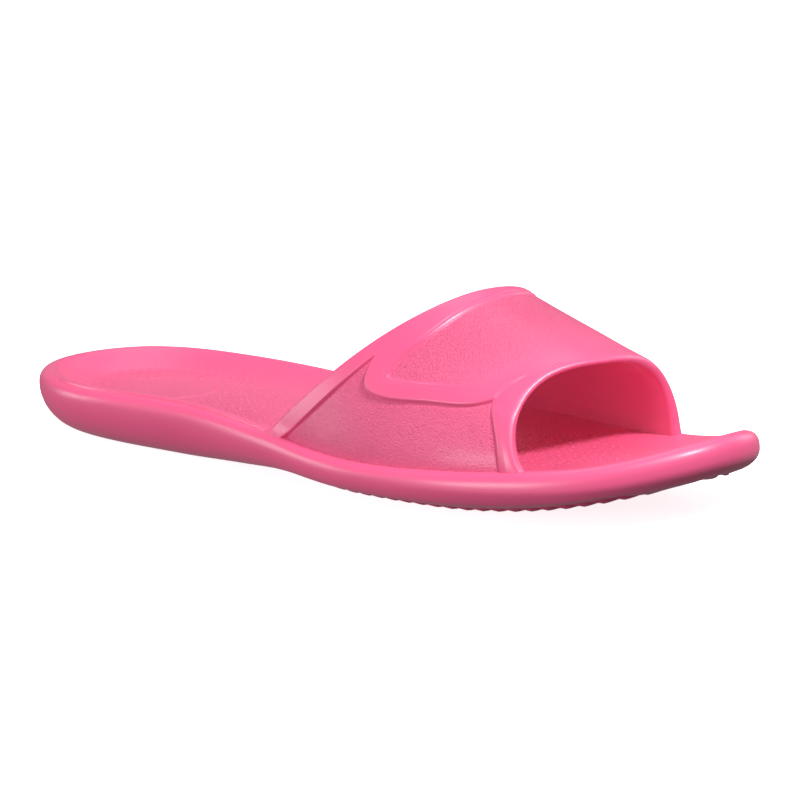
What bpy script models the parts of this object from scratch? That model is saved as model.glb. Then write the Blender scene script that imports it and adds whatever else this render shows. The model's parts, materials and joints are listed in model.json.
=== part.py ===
"""Bath slide for the right foot: a moulded foam sole and the foam strap that stands in its rim.

The toe points to +X, the medial side is +Y and the sole stands on Z = 0.
Sizes are in millimetres, and MM turns them into metres.
"""

import math
from collections import namedtuple

import bmesh
import bpy
import numpy as np

MM = 0.001
NAME = "bath_slide"
FOAM_PINK = (0.86, 0.13, 0.27, 1.0)
FOAM_ROUGHNESS = 0.5
WELD = 0.00002
CLEARANCE = 0.3

# Sole: outline seen from above, half widths at shares of the length from heel to toe
LENGTH = 250.0
Outline = namedtuple("Outline", "share lateral medial")
OUTLINE = (
    Outline(0.00, 0.0, 0.0),
    Outline(0.03, 21.4, 22.6),
    Outline(0.10, 33.8, 33.2),
    Outline(0.20, 37.2, 34.8),
    Outline(0.32, 35.8, 32.8),
    Outline(0.45, 39.0, 31.5),
    Outline(0.58, 44.6, 35.5),
    Outline(0.70, 44.1, 40.5),
    Outline(0.80, 38.2, 41.0),
    Outline(0.89, 29.0, 38.2),
    Outline(0.96, 14.3, 32.4),
    Outline(1.00, -10.9, 10.9),
)

# Sole: height of the rim over the floor, raised along the medial arch
Rim = namedtuple("Rim", "share lateral medial")
RIM = (
    Rim(0.00, 17.6, 17.6),
    Rim(0.15, 17.8, 17.8),
    Rim(0.30, 18.1, 18.2),
    Rim(0.45, 14.8, 17.6),
    Rim(0.60, 12.4, 17.8),
    Rim(0.72, 13.6, 15.8),
    Rim(0.84, 15.5, 15.2),
    Rim(0.93, 19.0, 18.8),
    Rim(1.00, 24.4, 24.4),
)

# Sole: how far the bottom face is drawn in, and how high the widest line lies as a share of the side
Side = namedtuple("Side", "share drawn_in widest")
SIDE = (
    Side(0.00, 14.2, 0.77),
    Side(0.15, 15.1, 0.75),
    Side(0.40, 11.5, 0.66),
    Side(0.65, 15.2, 0.64),
    Side(0.85, 13.1, 0.60),
    Side(1.00, 12.2, 0.58),
)
RIM_INSET = 4.5
RIM_FULLNESS = 2.5
SIDE_CHANGE = 1.5

# Sole: underside, flat at the heel and at the forefoot
HEEL_ROLL = 2.8
HEEL_ROLL_END = 0.08
ARCH_RISE = 1.4
ARCH_START = 0.28
ARCH_END = 0.58
TOE_SPRING = 11.2
TOE_SPRING_START = 0.70

# Sole: depth of the dished footbed under the rim, a deep cup at the heel
Dish = namedtuple("Dish", "share depth")
DISH = (
    Dish(0.00, 5.6),
    Dish(0.18, 5.6),
    Dish(0.32, 4.8),
    Dish(0.46, 3.2),
    Dish(0.62, 2.8),
    Dish(0.84, 2.4),
    Dish(1.00, 2.2),
)
DISH_EDGE = 0.42
SPINE_END_GAP = 30.0

# Strap: height of its crown over the floor, by distance along the sole from its middle
Crown = namedtuple("Crown", "station height")
CROWN = (
    Crown(-40.0, 84.0),
    Crown(0.0, 71.9),
    Crown(40.0, 57.8),
    Crown(80.0, 42.8),
    Crown(110.0, 37.0),
)
CROWN_SIDE_SHIFT = 4.1
LATERAL_FULLNESS = 1.9
MEDIAL_FULLNESS = 2.55

# Strap: its rear and front edges, by the angle round the foot from the lateral to the medial side
Edge = namedtuple("Edge", "angle rear front")
EDGES = (
    Edge(0.0, -13.7, 81.0),
    Edge(30.0, 14.8, 75.6),
    Edge(60.0, 32.4, 77.0),
    Edge(90.0, 38.7, 81.6),
    Edge(120.0, 36.7, 82.2),
    Edge(150.0, 21.2, 82.3),
    Edge(180.0, -8.0, 84.4),
)
WALL = 3.8
EDGE_ROUND = 2.4
SEAT_INSET = 3.05
SEAT_SINK = 0.45
FOOT_DEPTH = 2.0

# Strap: raised bands along both edges, with a sunk panel between them
Band = namedtuple("Band", "angle rear front")
BANDS = (
    Band(0.0, 7.6, 6.2),
    Band(25.0, 7.0, 7.0),
    Band(45.0, 5.2, 7.8),
    Band(90.0, 5.0, 7.0),
    Band(135.0, 5.2, 7.0),
    Band(180.0, 7.6, 6.2),
)
PANEL_SUNK = 1.2
STEP_WIDTH = 1.3

# Strap: raised overlay that comes over from the medial side, by the height of its lateral hem over the floor
Hem = namedtuple("Hem", "share height")
HEM = (
    Hem(0.00, 42.0),
    Hem(0.10, 35.4),
    Hem(0.24, 31.7),
    Hem(0.55, 31.8),
    Hem(0.85, 32.2),
    Hem(1.00, 35.0),
)

# Strap: shallow panel sunk into the overlay, by its distance from the strap's rear edge
Recess = namedtuple("Recess", "angle rear")
RECESS = (
    Recess(30.0, 14.5),
    Recess(40.0, 11.2),
    Recess(60.0, 8.0),
    Recess(90.0, 4.8),
    Recess(180.0, 4.8),
)
RECESS_SUNK = 0.7
RECESS_HEM_HEIGHT = 36.2
RECESS_MEDIAL_HEIGHT = 30.0
RECESS_SOFTNESS = 3.0

# Mesh: numbers of rows and columns
SOLE_COLUMNS = 96
BOTTOM_SHARES = (1.0, 0.66, 0.33)
BELOW_WIDEST = 7
ABOVE_WIDEST = 6
FOOTBED_SHARES = (0.06, 0.13, 0.21, 0.31, 0.42, 0.6, 0.8, 1.0)
EDGE_TURNS = (0.0, 35.0, 65.0, 90.0)
PANEL_SHARES = (0.0, 0.03, 0.07, 0.12, 0.18, 0.26, 0.38, 0.52, 0.68, 0.82, 0.92, 1.0)
COLUMNS_BELOW_HEM = 13
COLUMNS_ABOVE_HEM = 38
GIRTH_STATION = 50.0
HEM_FIRST_GUESS = 30.0
HEM_STEPS = 6
OUTLINE_SAMPLES = 721
GIRTH_SAMPLES = 400

# Small steps that measure the slopes of the outline and of the strap's face
TURN_STEP = 0.002
STATION_STEP = 0.5
ANGLE_STEP = 0.01


def natural_spline(knots, values):
    """Return a curve with smooth bends through the values at the knots."""
    knots = np.asarray(knots, float)
    values = np.asarray(values, float)
    gaps = np.diff(knots)
    slopes = np.diff(values) / gaps
    count = len(knots)
    system = np.eye(count)
    right = np.zeros(count)
    for k in range(1, count - 1):
        system[k, k - 1:k + 2] = gaps[k - 1], 2.0 * (gaps[k - 1] + gaps[k]), gaps[k]
        right[k] = 6.0 * (slopes[k] - slopes[k - 1])
    bends = np.linalg.solve(system, right)

    def curve(at):
        at = np.clip(at, knots[0], knots[-1])
        k = np.clip(np.searchsorted(knots, at) - 1, 0, count - 2)
        before = at - knots[k]
        after = knots[k + 1] - at
        cubic = (bends[k] * after ** 3 + bends[k + 1] * before ** 3) / (6.0 * gaps[k])
        linear_after = (values[k] / gaps[k] - bends[k] * gaps[k] / 6.0) * after
        linear_before = (values[k + 1] / gaps[k] - bends[k + 1] * gaps[k] / 6.0) * before
        return cubic + linear_after + linear_before

    return curve


def column_spline(table, key, value):
    """Return the curve of one named column of a table over another."""
    return natural_spline([getattr(row, key) for row in table], [getattr(row, value) for row in table])


def ease(at):
    """Return a smooth step from 0 to 1."""
    at = np.clip(at, 0.0, 1.0)
    return at * at * (3.0 - 2.0 * at)


def outline_spline():
    """Return the outline's sideways place by its turn: heel 0, lateral side, toe half a turn, medial side."""
    turns = [math.acos(1.0 - 2.0 * row.share) for row in OUTLINE]
    knots = np.array(turns + [2.0 * math.pi - turn for turn in turns[-2:0:-1]])
    places = np.array([-row.lateral for row in OUTLINE] + [row.medial for row in OUTLINE[-2:0:-1]])
    wrap = len(OUTLINE) // 2
    knots = np.concatenate([knots[-wrap:] - 2.0 * math.pi, knots, knots[:wrap] + 2.0 * math.pi])
    places = np.concatenate([places[-wrap:], places, places[:wrap]])
    return natural_spline(knots, places)


outline_place = outline_spline()
outline_places = outline_place(np.linspace(0.0, 2.0 * math.pi, OUTLINE_SAMPLES))
OUTLINE_MIDDLE = (outline_places.min() + outline_places.max()) / 2.0

lateral_rim = column_spline(RIM, "share", "lateral")
medial_rim = column_spline(RIM, "share", "medial")
side_drawn_in = column_spline(SIDE, "share", "drawn_in")
side_widest = column_spline(SIDE, "share", "widest")
dish_depth = column_spline(DISH, "share", "depth")
crown_height = column_spline(CROWN, "station", "height")
rear_edge = column_spline(EDGES, "angle", "rear")
front_edge = column_spline(EDGES, "angle", "front")
rear_band = column_spline(BANDS, "angle", "rear")
front_band = column_spline(BANDS, "angle", "front")
hem_height = column_spline(HEM, "share", "height")
recess_rear = column_spline(RECESS, "angle", "rear")


def length_share(station):
    """Return the share of the length, from heel to toe, at a distance along the sole."""
    return np.clip(station / LENGTH + 0.5, 0.0, 1.0)


def outline_points(turns):
    """Return the outline's X and Y, with the outline's middle on the X axis."""
    return -LENGTH / 2.0 * np.cos(turns), outline_place(np.mod(turns, 2.0 * math.pi)) - OUTLINE_MIDDLE


def outline_outward(turns):
    """Return the X and Y of the outline's outward direction."""
    x_before, y_before = outline_points(turns - TURN_STEP)
    x_after, y_after = outline_points(turns + TURN_STEP)
    along = np.hypot(x_after - x_before, y_after - y_before)
    return (y_after - y_before) / along, (x_before - x_after) / along


def underside_height(station):
    """Return the height of the underside: rolled up at the heel, arched, and sprung at the toe."""
    share = length_share(station)
    roll = np.clip(1.0 - share / HEEL_ROLL_END, 0.0, 1.0) ** 2
    arch = np.clip((share - ARCH_START) / (ARCH_END - ARCH_START), 0.0, 1.0)
    spring = np.clip((share - TOE_SPRING_START) / (1.0 - TOE_SPRING_START), 0.0, 1.0) ** 2
    return HEEL_ROLL * roll + ARCH_RISE * np.sin(math.pi * arch) ** 2 + TOE_SPRING * spring


def medial_part(turns):
    """Return 0 on the lateral side and 1 on the medial side, eased round the heel and the toe."""
    return ease(0.5 - SIDE_CHANGE * np.sin(turns))


def rim_height(station, part):
    """Return the rim's height, from the lateral to the medial one as the medial part goes from 0 to 1."""
    share = length_share(station)
    return lateral_rim(share) + part * (medial_rim(share) - lateral_rim(share))


def footbed_height(station, part, inward):
    """Return the footbed's height at a share of the way from the rim to the middle line."""
    fall = math.sin(math.pi / 2.0 * min(inward / DISH_EDGE, 1.0))
    return rim_height(station, part) - fall * dish_depth(length_share(station))


def side_ring(turns, inset, rise):
    """Return a ring of the sole's side, drawn in from the outline, at a share of the side's height."""
    x, y = outline_points(turns)
    out_x, out_y = outline_outward(turns)
    bottom = underside_height(x)
    height = rim_height(x, medial_part(turns)) - bottom
    return np.stack([x - inset * out_x, y - inset * out_y, bottom + rise * height], axis=-1)


def spine_points(turns):
    """Return the middle line of the sole, as X and Y for each column of the outline."""
    x = -(LENGTH / 2.0 - SPINE_END_GAP) * np.cos(turns)
    outer_turns = np.arccos(-2.0 * x / LENGTH)
    _, lateral = outline_points(outer_turns)
    _, medial = outline_points(2.0 * math.pi - outer_turns)
    return x, (lateral + medial) / 2.0


def sole_rows():
    """Return the sole's points: from the bottom's middle line out, up the side and in over the footbed."""
    turns = np.linspace(0.0, 2.0 * math.pi, SOLE_COLUMNS + 1)
    x, _ = outline_points(turns)
    drawn_in = side_drawn_in(length_share(x))
    widest = side_widest(length_share(x))
    spine_x, spine_y = spine_points(turns)

    def ring_inside(ring, inward, height_at):
        ring_x = ring[:, 0] + inward * (spine_x - ring[:, 0])
        ring_y = ring[:, 1] + inward * (spine_y - ring[:, 1])
        return np.stack([ring_x, ring_y, height_at(x + inward * (spine_x - x))], axis=-1)

    foot = side_ring(turns, drawn_in, 0.0)
    rows = [ring_inside(foot, inward, underside_height) for inward in BOTTOM_SHARES]
    for step in range(BELOW_WIDEST + 1):
        angle = math.pi / 2.0 * step / BELOW_WIDEST
        rows.append(side_ring(turns, drawn_in * (1.0 - math.sin(angle)), widest * (1.0 - math.cos(angle))))

    power = 2.0 / RIM_FULLNESS
    for step in range(1, ABOVE_WIDEST + 1):
        angle = math.pi / 2.0 * step / ABOVE_WIDEST
        inset = RIM_INSET * (1.0 - max(math.cos(angle), 0.0) ** power)
        rows.append(side_ring(turns, inset, widest + (1.0 - widest) * math.sin(angle) ** power))

    rim = rows[-1]
    for inward in FOOTBED_SHARES:
        part = inward / 2.0 + (1.0 - inward) * medial_part(turns)
        rows.append(ring_inside(rim, inward, lambda place: footbed_height(place, part, inward)))
    return np.stack(rows)


def strap_foot_height(station, angle):
    """Return the height from which the strap rises, which runs from the lateral to the medial rim."""
    return rim_height(station, (1.0 - np.cos(angle)) / 2.0) - SEAT_SINK


def strap_face(station, angle):
    """Return the strap's outer face at a distance along the sole and an angle in radians round the foot."""
    turns = np.arccos(np.clip(-2.0 * station / LENGTH, -1.0, 1.0))
    lateral = outline_points(turns)[1] + SEAT_INSET
    medial = outline_points(2.0 * math.pi - turns)[1] - SEAT_INSET
    middle = CROWN_SIDE_SHIFT - OUTLINE_MIDDLE
    on_lateral = angle < math.pi / 2.0
    power = 2.0 / np.where(on_lateral, LATERAL_FULLNESS, MEDIAL_FULLNESS)
    reach = np.abs(np.cos(angle)) ** power
    rise = np.abs(np.sin(angle)) ** power
    y = middle + np.where(on_lateral, lateral - middle, medial - middle) * reach
    foot = strap_foot_height(station, angle)
    z = foot + (crown_height(station) - foot) * rise
    return np.stack([station, y, z], axis=-1)


def strap_outward(station, angle):
    """Return the outward direction of the strap's outer face."""
    angle = np.clip(angle, 2.0 * ANGLE_STEP, math.pi - 2.0 * ANGLE_STEP)
    along = strap_face(station + STATION_STEP, angle) - strap_face(station - STATION_STEP, angle)
    around = strap_face(station, angle + ANGLE_STEP) - strap_face(station, angle - ANGLE_STEP)
    outward = np.cross(along, around)
    return outward / np.linalg.norm(outward, axis=-1, keepdims=True)


def girth_table():
    """Return even shares of the strap's girth, the angles at which they lie, and the girth itself."""
    angles = np.linspace(0.0, math.pi, GIRTH_SAMPLES)
    points = strap_face(np.full_like(angles, GIRTH_STATION), angles)
    lengths = np.concatenate([[0.0], np.cumsum(np.linalg.norm(np.diff(points, axis=0), axis=1))])
    return lengths / lengths[-1], angles, lengths[-1]


GIRTH_SHARES, GIRTH_ANGLES, GIRTH = girth_table()


def panel_station(share, degrees):
    """Return the place along the sole of a share of the panel, which lies between the two bands' steps."""
    start = rear_edge(degrees) + rear_band(degrees) + STEP_WIDTH / 2.0
    end = front_edge(degrees) - front_band(degrees) - STEP_WIDTH / 2.0
    return start + share * (end - start)


def hem_angle(share):
    """Return the angle of the overlay's lateral hem at a share of the panel, stepping to its height."""
    angle = math.radians(HEM_FIRST_GUESS)
    for _ in range(HEM_STEPS):
        station = panel_station(share, math.degrees(angle))
        foot = strap_foot_height(station, angle)
        rise = (hem_height(share) - foot) / (crown_height(station) - foot)
        angle = math.asin(rise ** (LATERAL_FULLNESS / 2.0))
    return angle


def strap_columns(share):
    """Return the angles of the strap's columns on one line across it, gathered at the overlay's hem."""
    hem = np.interp(hem_angle(share), GIRTH_ANGLES, GIRTH_SHARES)
    half_step = STEP_WIDTH / GIRTH / 2.0
    below = np.linspace(0.0, hem - half_step, COLUMNS_BELOW_HEM + 1)
    above = np.linspace(hem + half_step, 1.0, COLUMNS_ABOVE_HEM + 1)
    return np.interp(np.concatenate([below, above]), GIRTH_SHARES, GIRTH_ANGLES)


def recess_depth(station, angle):
    """Return how deep the overlay's own panel is sunk at a place of the strap."""
    degrees = np.degrees(angle)
    lower_edge = np.where(degrees < 90.0, RECESS_HEM_HEIGHT, RECESS_MEDIAL_HEIGHT)
    from_hem = strap_face(station, angle)[:, 2] - lower_edge
    from_rear = station - rear_edge(degrees) - recess_rear(degrees)
    from_front = front_edge(degrees) - front_band(degrees) - station
    nearest = np.minimum(np.minimum(from_rear, from_front), from_hem)
    return RECESS_SUNK * ease(nearest / RECESS_SOFTNESS + 0.5)


Line = namedtuple("Line", "zone place turn")


def strap_lines():
    """Return the lines across the strap from its rear edge to its front edge."""
    turns = [math.radians(turn) for turn in EDGE_TURNS]
    rear = [Line("rear edge", EDGE_ROUND * (1.0 - math.cos(turn)), turn) for turn in turns]
    front = [Line("front edge", line.place, line.turn) for line in reversed(rear)]
    flat = math.pi / 2.0
    rear_step = [Line("rear step", -STEP_WIDTH / 2.0, flat)]
    front_step = [Line("front step", -STEP_WIDTH / 2.0, flat)]
    panel = [Line("panel", share, flat) for share in PANEL_SHARES]
    return rear + rear_step + panel + front_step + front


def line_station(line, degrees, grow):
    """Return the places along the sole of one line of the strap."""
    if line.zone == "rear edge":
        return rear_edge(degrees) + line.place - grow
    if line.zone == "front edge":
        return front_edge(degrees) - line.place + grow
    if line.zone == "rear step":
        return rear_edge(degrees) + rear_band(degrees) + line.place
    if line.zone == "front step":
        return front_edge(degrees) - front_band(degrees) - line.place
    return panel_station(line.place, degrees)


def line_depth(line, station, angle):
    """Return how deep the outer face lies under the strap's smooth form on one line."""
    if line.zone != "panel":
        return np.full_like(station, WALL / 2.0 * (1.0 - math.sin(line.turn)))
    on_overlay = np.arange(len(angle)) > COLUMNS_BELOW_HEM
    return np.where(on_overlay, recess_depth(station, angle), PANEL_SUNK)


def strap_row(line, inside, grow):
    """Return the points of one line, foot to foot, with the foot ends and the middle of their flat caps."""
    share = line.place if line.zone == "panel" else float("front" in line.zone)
    angle = strap_columns(share)
    station = line_station(line, np.degrees(angle), grow)
    if inside:
        depth = np.full_like(station, WALL / 2.0 * (1.0 + math.sin(line.turn))) + grow * math.sin(line.turn)
    else:
        depth = line_depth(line, station, angle) - grow * math.sin(line.turn)
    outward = strap_outward(station, angle)
    face = strap_face(station, angle)
    points = face - depth[:, None] * outward
    middles = face - WALL / 2.0 * outward
    drop = np.array([0.0, 0.0, FOOT_DEPTH + grow])
    first = [middles[0] - drop, points[0] - drop]
    last = [points[-1] - drop, middles[-1] - drop]
    return np.concatenate([first, points, last])


def strap_rows(grow):
    """Return the strap's points as a loop round its wall: over the outer face and back inside."""
    lines = strap_lines()
    rows = [strap_row(line, False, grow) for line in lines]
    rows += [strap_row(line, True, grow) for line in reversed(lines[1:-1])]
    return np.stack(rows + rows[:1])


def foam_material():
    """Return the pink foam of both pieces."""
    material = bpy.data.materials.new("pink_foam")
    material.use_nodes = True
    shader = material.node_tree.nodes["Principled BSDF"]
    shader.inputs["Base Color"].default_value = FOAM_PINK
    shader.inputs["Roughness"].default_value = FOAM_ROUGHNESS
    shader.inputs["Metallic"].default_value = 0.0
    material.diffuse_color = FOAM_PINK
    return material


def woven_object(name, rows, collection):
    """Return an object whose grid is laid over rows of points, with the points that meet welded."""
    row_count, column_count, _ = rows.shape
    grid = bmesh.new()
    bmesh.ops.create_grid(grid, x_segments=column_count - 1, y_segments=row_count - 1, size=1.0)
    for vertex in grid.verts:
        column = round((vertex.co.x + 1.0) / 2.0 * (column_count - 1))
        row = round((vertex.co.y + 1.0) / 2.0 * (row_count - 1))
        vertex.co = rows[row, column] * MM
    bmesh.ops.remove_doubles(grid, verts=grid.verts[:], dist=WELD)
    bmesh.ops.recalc_face_normals(grid, faces=grid.faces[:])
    mesh = bpy.data.meshes.new(name)
    grid.to_mesh(mesh)
    grid.free()
    mesh.shade_smooth()
    piece = bpy.data.objects.new(name, mesh)
    collection.objects.link(piece)
    return piece


def new_collection(name):
    """Return a new collection in the scene."""
    collection = bpy.data.collections.new(name)
    bpy.context.scene.collection.children.link(collection)
    return collection


def build():
    """Build the sole and the strap, and cut the channels of the strap's feet into the sole's rim."""
    for old in list(bpy.data.objects):
        bpy.data.objects.remove(old, do_unlink=True)
    parts = new_collection(NAME)
    cutters = new_collection("cutters")
    foam = foam_material()

    sole = woven_object("sole", sole_rows(), parts)
    upper = woven_object("upper", strap_rows(0.0), parts)
    for piece in (sole, upper):
        piece.data.materials.append(foam)

    channel = woven_object("strap_channel", strap_rows(CLEARANCE), cutters)
    channel.hide_render = True
    channel.display_type = "WIRE"
    cut = sole.modifiers.new("strap_channel", "BOOLEAN")
    cut.operation = "DIFFERENCE"
    cut.solver = "EXACT"
    cut.object = channel


build()
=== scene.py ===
"""Looks of the bath slide: a pink moulded foam sole and strap on a pale studio floor.

Finer skins stand for the two solids of the frame, from nearly the same driving sizes in millimetres.
The toe points to +X, the medial side is +Y and the slide stands on Z = 0.
"""

import json
import logging
import math
from collections.abc import Callable, Sequence
from dataclasses import dataclass
from enum import Enum
from typing import NamedTuple

import bmesh
import bpy
import numpy as np
from bpy.types import Material, Node, NodeSocket, Object
from mathutils import Matrix, Vector
from mathutils.bvhtree import BVHTree

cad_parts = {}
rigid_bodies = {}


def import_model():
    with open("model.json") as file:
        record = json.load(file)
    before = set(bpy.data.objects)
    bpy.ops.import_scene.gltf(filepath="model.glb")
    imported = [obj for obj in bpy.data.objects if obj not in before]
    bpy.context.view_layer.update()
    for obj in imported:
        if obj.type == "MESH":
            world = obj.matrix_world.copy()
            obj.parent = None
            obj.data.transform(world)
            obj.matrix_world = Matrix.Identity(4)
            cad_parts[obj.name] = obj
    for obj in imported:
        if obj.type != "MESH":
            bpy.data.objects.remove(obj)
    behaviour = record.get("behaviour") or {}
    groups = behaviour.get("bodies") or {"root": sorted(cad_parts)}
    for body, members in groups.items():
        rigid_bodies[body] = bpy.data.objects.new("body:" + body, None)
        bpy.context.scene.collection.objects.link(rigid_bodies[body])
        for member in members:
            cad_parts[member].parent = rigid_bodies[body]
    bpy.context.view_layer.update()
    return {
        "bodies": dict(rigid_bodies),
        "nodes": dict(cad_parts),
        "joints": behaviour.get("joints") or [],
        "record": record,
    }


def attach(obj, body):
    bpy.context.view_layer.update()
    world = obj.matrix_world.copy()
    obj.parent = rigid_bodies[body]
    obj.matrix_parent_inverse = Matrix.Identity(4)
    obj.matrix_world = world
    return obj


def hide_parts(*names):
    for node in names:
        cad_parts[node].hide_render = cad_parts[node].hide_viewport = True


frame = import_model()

log = logging.getLogger("bath_slide")

MM = 0.001
BODY = "root"
GRAIN = "grain"
QUARTER_TURN = math.pi / 2.0
QUARTER_DEGREES = 90.0
FULL_TURN = 2.0 * math.pi

Curve = Callable[[np.ndarray], np.ndarray]
Colour = tuple[float, float, float, float]
Span = tuple[float, float]
Plateau = tuple[float, float, float, float]
Inputs = dict[str | int, NodeSocket | Colour | float]


class Knot(NamedTuple):
    """One value of a curve and its place."""

    place: float
    value: float


class SidesRow(NamedTuple):
    """Values of the sole's lateral and medial side at a share of its length, from heel to toe."""

    share: float
    lateral: float
    medial: float


class ProfileRow(NamedTuple):
    """How far the bottom face is drawn in, and how high the widest line lies as a share of the side."""

    share: float
    drawn_in: float
    widest: float


class EdgesRow(NamedTuple):
    """Values of the strap's rear and front edge, by the angle round the foot from the lateral side."""

    angle: float
    rear: float
    front: float


class RowSpan(NamedTuple):
    """A number of rows spread over a span of shares of the way from the rim to the middle."""

    start: float
    end: float
    count: int


class RibZone(NamedTuple):
    """A stretch of ribs along the sole, and how far up its side they go, in degrees of the side's turn."""

    start: float
    end: float
    wrap: float


# Half widths of the sole
OUTLINE = (
    SidesRow(0.00, 0.0, 0.0),
    SidesRow(0.03, 21.4, 22.6),
    SidesRow(0.10, 33.8, 33.2),
    SidesRow(0.20, 37.2, 34.8),
    SidesRow(0.32, 35.8, 32.8),
    SidesRow(0.45, 39.0, 31.5),
    SidesRow(0.58, 44.6, 35.5),
    SidesRow(0.70, 44.1, 40.5),
    SidesRow(0.80, 38.2, 41.0),
    SidesRow(0.89, 29.0, 38.2),
    SidesRow(0.96, 14.3, 32.4),
    SidesRow(1.00, -10.9, 10.9),
)
# Heights of the rim over the floor
RIM = (
    SidesRow(0.00, 17.6, 17.6),
    SidesRow(0.15, 17.8, 17.8),
    SidesRow(0.30, 18.1, 18.2),
    SidesRow(0.45, 14.8, 17.6),
    SidesRow(0.60, 12.4, 17.8),
    SidesRow(0.72, 13.6, 15.8),
    SidesRow(0.84, 15.5, 15.2),
    SidesRow(0.93, 19.0, 18.8),
    SidesRow(1.00, 24.4, 24.4),
)
# Profile of the sole's side
SIDE = (
    ProfileRow(0.00, 14.2, 0.77),
    ProfileRow(0.15, 15.1, 0.75),
    ProfileRow(0.40, 11.5, 0.66),
    ProfileRow(0.65, 15.2, 0.64),
    ProfileRow(0.85, 13.1, 0.60),
    ProfileRow(1.00, 12.2, 0.58),
)
# Depth of the footbed's middle under the rim, by share of the length
DISH = (
    Knot(0.00, 5.6),
    Knot(0.18, 5.6),
    Knot(0.32, 4.8),
    Knot(0.46, 3.2),
    Knot(0.62, 2.8),
    Knot(0.84, 2.4),
    Knot(1.00, 2.2),
)
# Height of the strap's crown over the floor, by distance along the sole from its middle
CROWN = (
    Knot(-40.0, 84.0),
    Knot(0.0, 71.9),
    Knot(40.0, 57.8),
    Knot(80.0, 42.8),
    Knot(110.0, 37.0),
)
# Places of the strap's edges along the sole
EDGES = (
    EdgesRow(0.0, -13.7, 81.0),
    EdgesRow(30.0, 14.8, 75.6),
    EdgesRow(60.0, 32.4, 75.8),
    EdgesRow(90.0, 38.7, 81.6),
    EdgesRow(120.0, 36.7, 82.2),
    EdgesRow(150.0, 21.2, 82.3),
    EdgesRow(180.0, -8.0, 84.4),
)
# Widths of the raised rear band and front bead
BANDS = (
    EdgesRow(0.0, 7.6, 6.0),
    EdgesRow(18.0, 7.2, 5.2),
    EdgesRow(28.0, 6.4, 6.6),
    EdgesRow(37.0, 5.6, 8.3),
    EdgesRow(45.5, 5.2, 6.9),
    EdgesRow(54.5, 5.1, 4.8),
    EdgesRow(90.0, 5.0, 4.8),
    EdgesRow(135.0, 5.2, 5.4),
    EdgesRow(180.0, 7.6, 6.2),
)
# Height of the overlay's lateral hem over the floor, by share of the panel from rear to front
HEM = (
    Knot(0.00, 42.0),
    Knot(0.10, 35.4),
    Knot(0.24, 31.7),
    Knot(0.55, 31.8),
    Knot(0.85, 32.2),
    Knot(1.00, 33.8),
)
# Distance of the overlay's sunk panel from the strap's rear edge, by angle round the foot
RECESS = (
    Knot(30.0, 16.2),
    Knot(40.0, 11.8),
    Knot(50.0, 10.0),
    Knot(60.0, 8.0),
    Knot(90.0, 4.6),
    Knot(180.0, 4.6),
)
# Where the nub field starts, as a share of the way from rim to middle
NUBS = (
    SidesRow(0.00, 0.40, 0.40),
    SidesRow(0.06, 0.30, 0.30),
    SidesRow(0.13, 0.25, 0.20),
    SidesRow(0.18, 0.22, 0.18),
    SidesRow(0.22, 0.22, 0.28),
    SidesRow(0.26, 0.22, 0.42),
    SidesRow(0.32, 0.22, 0.72),
    SidesRow(0.38, 0.22, 0.88),
    SidesRow(0.46, 0.22, 1.05),
    SidesRow(0.56, 0.24, 0.90),
    SidesRow(0.66, 0.26, 0.45),
    SidesRow(0.74, 0.34, 0.30),
    SidesRow(0.79, 0.56, 0.36),
    SidesRow(0.835, 0.98, 0.62),
    SidesRow(0.87, 1.30, 1.02),
    SidesRow(1.00, 1.50, 1.50),
)
# Rise of the heel's oval in shares of its height, by share of the way to its edge
OVAL = (
    Knot(0.0, 1.0),
    Knot(0.35, 1.0),
    Knot(0.7, 1.0),
    Knot(0.9, 1.0),
    Knot(0.94, 0.92),
    Knot(0.97, 0.66),
    Knot(0.99, 0.2),
    Knot(1.0, -0.8),
)


def natural_spline(knots: Sequence[float], values: Sequence[float]) -> Curve:
    """Draw a curve with smooth bends through values.

    Args:
        knots: Rising places of the values.
        values: The values at the knots.

    Returns:
        A function that gives the curve's value at any place, held level outside the knots.
    """
    places = np.asarray(knots, float)
    heights = np.asarray(values, float)
    gaps = np.diff(places)
    slopes = np.diff(heights) / gaps
    count = len(places)
    system = np.eye(count)
    right = np.zeros(count)
    for k in range(1, count - 1):
        system[k, k - 1:k + 2] = gaps[k - 1], 2.0 * (gaps[k - 1] + gaps[k]), gaps[k]
        right[k] = 6.0 * (slopes[k] - slopes[k - 1])
    bends = np.linalg.solve(system, right)

    def curve(at: np.ndarray) -> np.ndarray:
        """Return the curve's values at some places."""
        at = np.clip(at, places[0], places[-1])
        k = np.clip(np.searchsorted(places, at) - 1, 0, count - 2)
        before = at - places[k]
        after = places[k + 1] - at
        cubic = (bends[k] * after ** 3 + bends[k + 1] * before ** 3) / (6.0 * gaps[k])
        linear_after = (heights[k] / gaps[k] - bends[k] * gaps[k] / 6.0) * after
        linear_before = (heights[k + 1] / gaps[k] - bends[k + 1] * gaps[k] / 6.0) * before
        return cubic + linear_after + linear_before

    return curve


def column_spline(table: Sequence[NamedTuple], column: str = "value") -> Curve:
    """Draw the curve of one named column of a table over the table's first column."""
    return natural_spline([row[0] for row in table], [getattr(row, column) for row in table])


def ease(at: np.ndarray | float) -> np.ndarray:
    """Return a smooth step from 0 to 1."""
    at = np.clip(at, 0.0, 1.0)
    return at * at * (3.0 - 2.0 * at)


def ramp(at: np.ndarray | float, span: Sequence[np.ndarray | float]) -> np.ndarray:
    """Return a smooth step from 0 at the start of a span to 1 at its end."""
    return ease((at - span[0]) / (span[1] - span[0]))


def plateau(at: np.ndarray, span: Plateau) -> np.ndarray:
    """Return a smooth rise from 0 to 1 between the first two places, and a fall between the last two."""
    return ramp(at, span[:2]) * (1.0 - ramp(at, span[2:]))


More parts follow.
